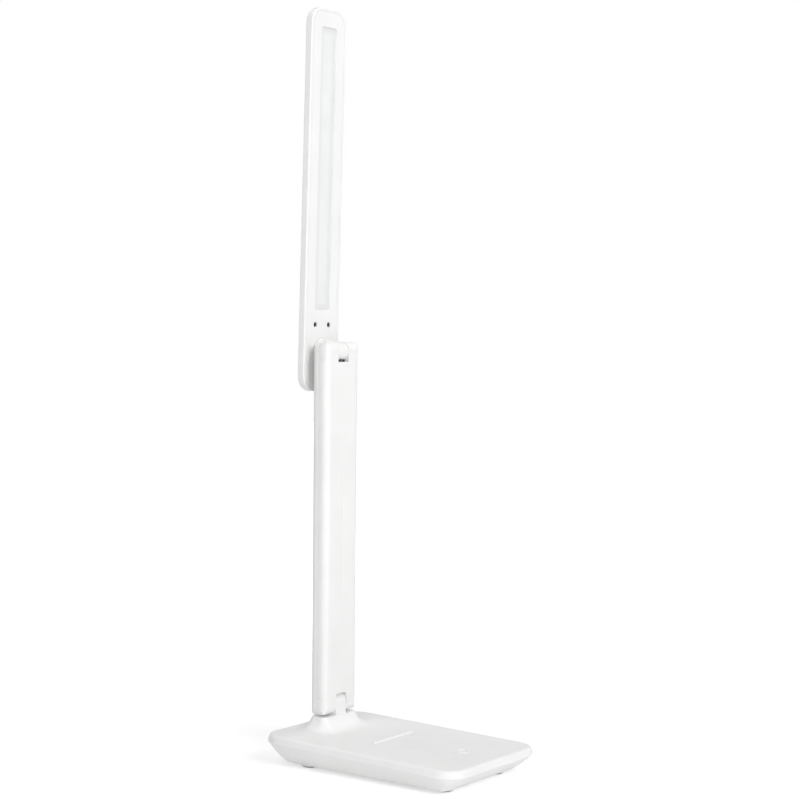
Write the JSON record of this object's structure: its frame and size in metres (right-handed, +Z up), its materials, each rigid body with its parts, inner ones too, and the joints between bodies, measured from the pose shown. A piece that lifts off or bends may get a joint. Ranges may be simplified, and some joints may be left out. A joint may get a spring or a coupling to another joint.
{
  "type": "folding led desk lamp",
  "caption": "Folding LED desk lamp: weighted wedge base with touch control, swing arm on a base hinge, and a slim light head that tilts and swivels.",
  "frame": {"origin": "on the floor under the middle of the base", "axes": "+X to the right seen from the front, +Y to the back, +Z up"},
  "size_m": [0.106, 0.1634, 0.5264],
  "materials": {
    "white_shell": "satin moulded white",
    "white_trim": "smooth white strip",
    "mark_white": "smooth white inlay",
    "milky_diffuser": "milky, slightly frosted, unlit",
    "reflector_white": "bright white film",
    "board_green": "solder mask",
    "led_yellow": "clear encapsulant",
    "wire_black": "black insulation",
    "wire_red": "red insulation",
    "pouch_foil": "dull foil",
    "steel": "plated steel",
    "ballast_steel": "rolled steel",
    "socket_steel": "drawn shell",
    "foot_rubber": "dark soft rubber",
    "screw_black": "blackened steel",
    "washer_black": "black friction plastic"
  },
  "bodies": {
    "base": {"base_top_shell": "white_shell", "base_bottom_shell": "white_shell", "cross_strip": "white_trim", "touch_mark": "mark_white", "touch_board": "board_green", "touch_lead": "wire_black", "main_board": "board_green", "board_screws": "steel", "usb_socket": "socket_steel", "battery_pack": "pouch_foil", "battery_leads": "wire_red", "ballast_plate": "ballast_steel", "rubber_feet": "foot_rubber", "base_screws": "steel", "base_leads": "wire_black"},
    "arm": {"arm_front_shell": "white_shell", "arm_back_cover": "white_shell", "arm_leads": "wire_black", "lower_hinge_bolt": "steel", "lower_hinge_nut": "steel", "lower_hinge_washers": "washer_black", "lower_hinge_caps": "white_shell", "upper_hinge_bolt": "steel", "upper_hinge_nut": "steel", "upper_hinge_washers": "washer_black", "upper_hinge_caps": "white_shell"},
    "knuckle": {"head_knuckle": "white_shell", "knuckle_leads": "wire_black", "swivel_pad": "washer_black", "swivel_washer": "steel", "swivel_clip": "steel"},
    "head": {"head_back_cover": "white_shell", "head_front_panel": "white_shell", "diffuser": "milky_diffuser", "reflector_sheet": "reflector_white", "led_board": "board_green", "leds": "led_yellow", "head_screws": "screw_black", "head_leads": "wire_black"}
  },
  "joints": [
    {"name": "base_hinge", "type": "hinge", "parent": "base", "child": "arm", "pos_m": [0, 0.058, 0.0394], "axis": [1, 0, 0], "range_deg": [-30.5, 89.4]},
    {"name": "head_tilt", "type": "hinge", "parent": "arm", "child": "knuckle", "pos_m": [0, 0.05567, 0.28679], "axis": [1, 0, 0], "range_deg": [-1.4, 148.6]},
    {"name": "head_swivel", "type": "hinge", "parent": "knuckle", "child": "head", "pos_m": [0, 0.05567, 0.28679], "axis": [0, 0.9995, 0.033], "range_deg": [-90, 180]}
  ]
}
